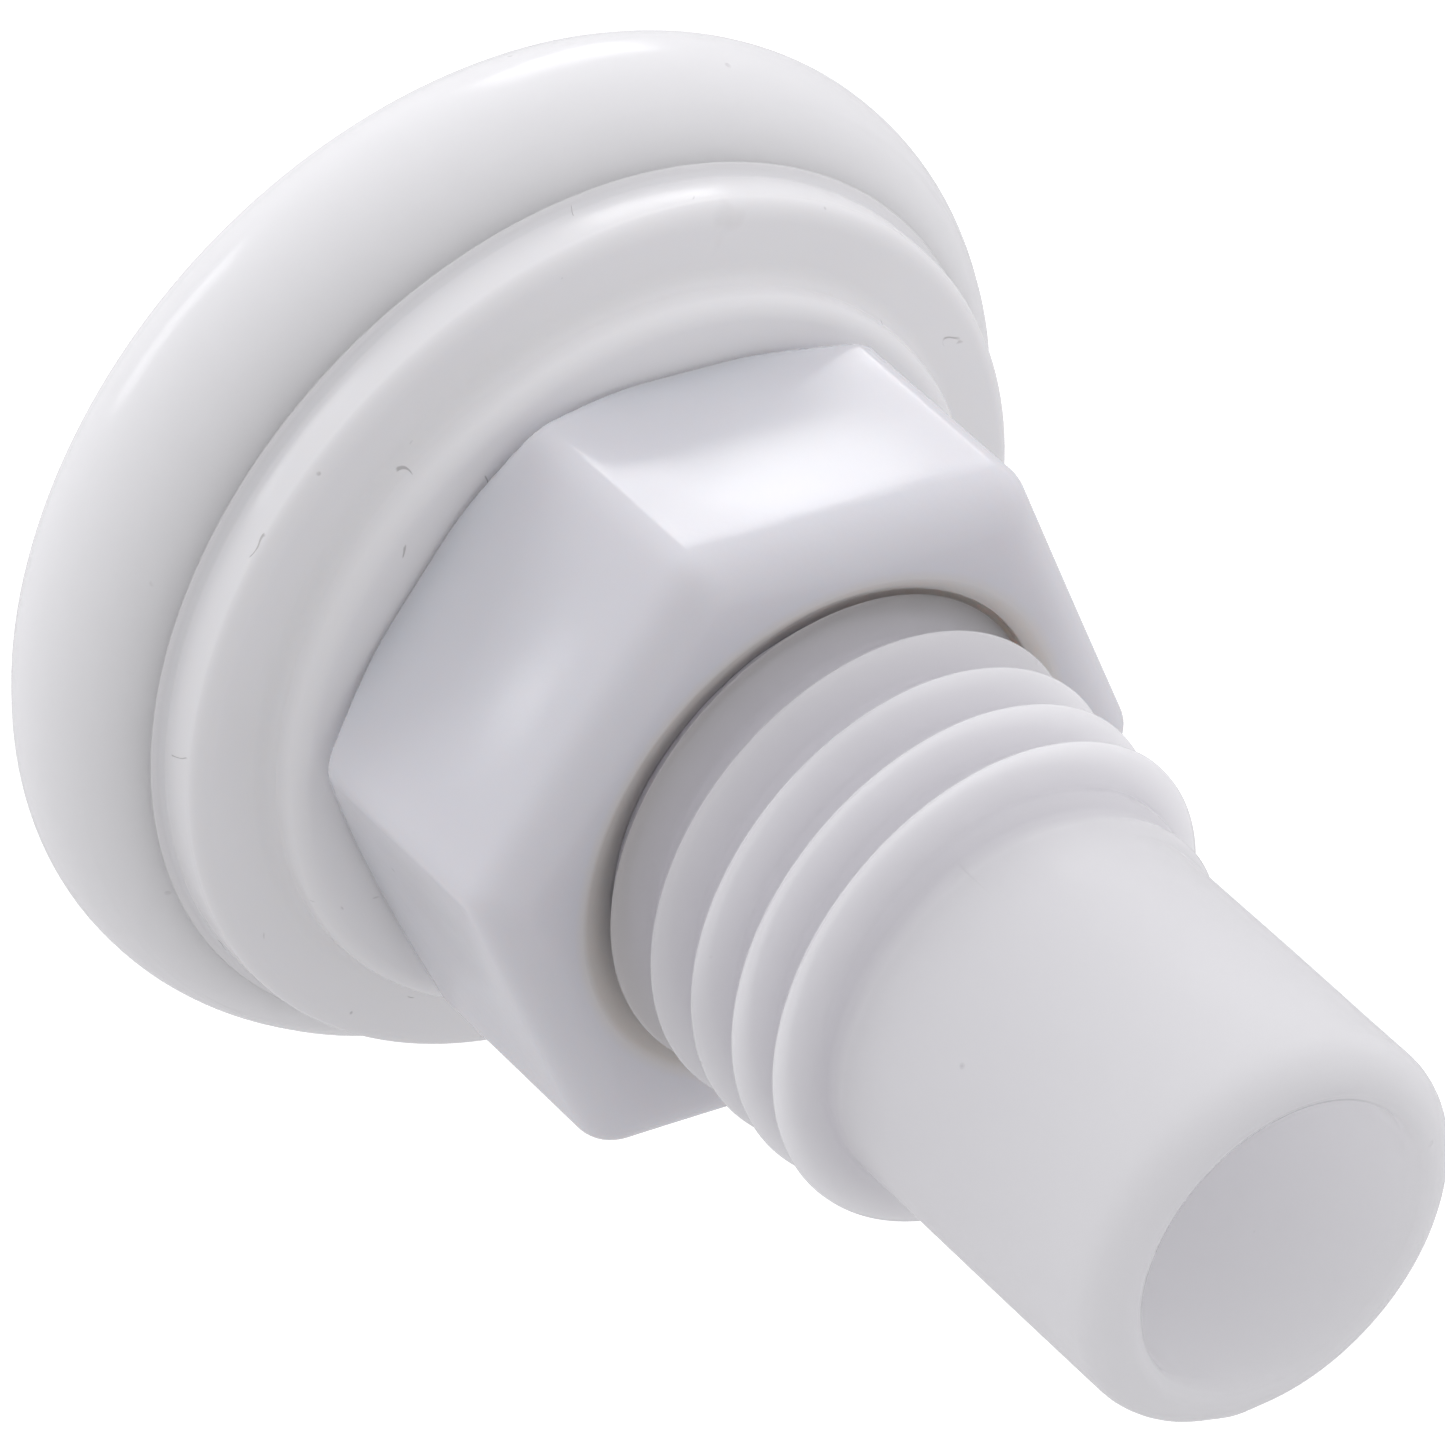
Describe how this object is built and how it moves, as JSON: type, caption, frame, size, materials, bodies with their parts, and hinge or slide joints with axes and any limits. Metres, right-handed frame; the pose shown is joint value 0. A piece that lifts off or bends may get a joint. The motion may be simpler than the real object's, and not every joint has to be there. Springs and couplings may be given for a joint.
{
  "type": "thru hull fitting",
  "caption": "Plastic thru-hull fitting: mushroom head, threaded shank and smooth hose spigot bored through, with a stepped rubber gasket and a hex clamp nut.",
  "frame": {"origin": "centre of the head's outer face", "axes": "+Z along the bore, from the head towards the hose spigot; +X through a corner of the nut"},
  "size_m": [0.0562, 0.0562, 0.0698],
  "materials": {
    "body_plastic": "milky translucent moulded plastic, softly glossy",
    "gasket_rubber": "off-white rubber, satin, with fine dark specks",
    "nut_plastic": "white moulded plastic, glossy"
  },
  "bodies": {
    "fitting": {"fitting_body": "body_plastic"},
    "gasket_carrier": {"gasket": "gasket_rubber"},
    "nut": {"hex_nut": "nut_plastic"}
  },
  "joints": [
    {"name": "nut_travel", "type": "slide", "parent": "fitting", "child": "gasket_carrier", "axis": [0, 0, 1], "range_m": [0, 0.01525]},
    {"name": "nut_turn", "type": "hinge", "parent": "gasket_carrier", "child": "nut", "pos_m": [0, 0, 0.0167], "axis": [0, 0, 1], "range_deg": [0, 1620]}
  ],
  "couplings": [
    {"joint": "nut_travel", "follows": "nut_turn", "m_per_rad": 0.000539}
  ]
}
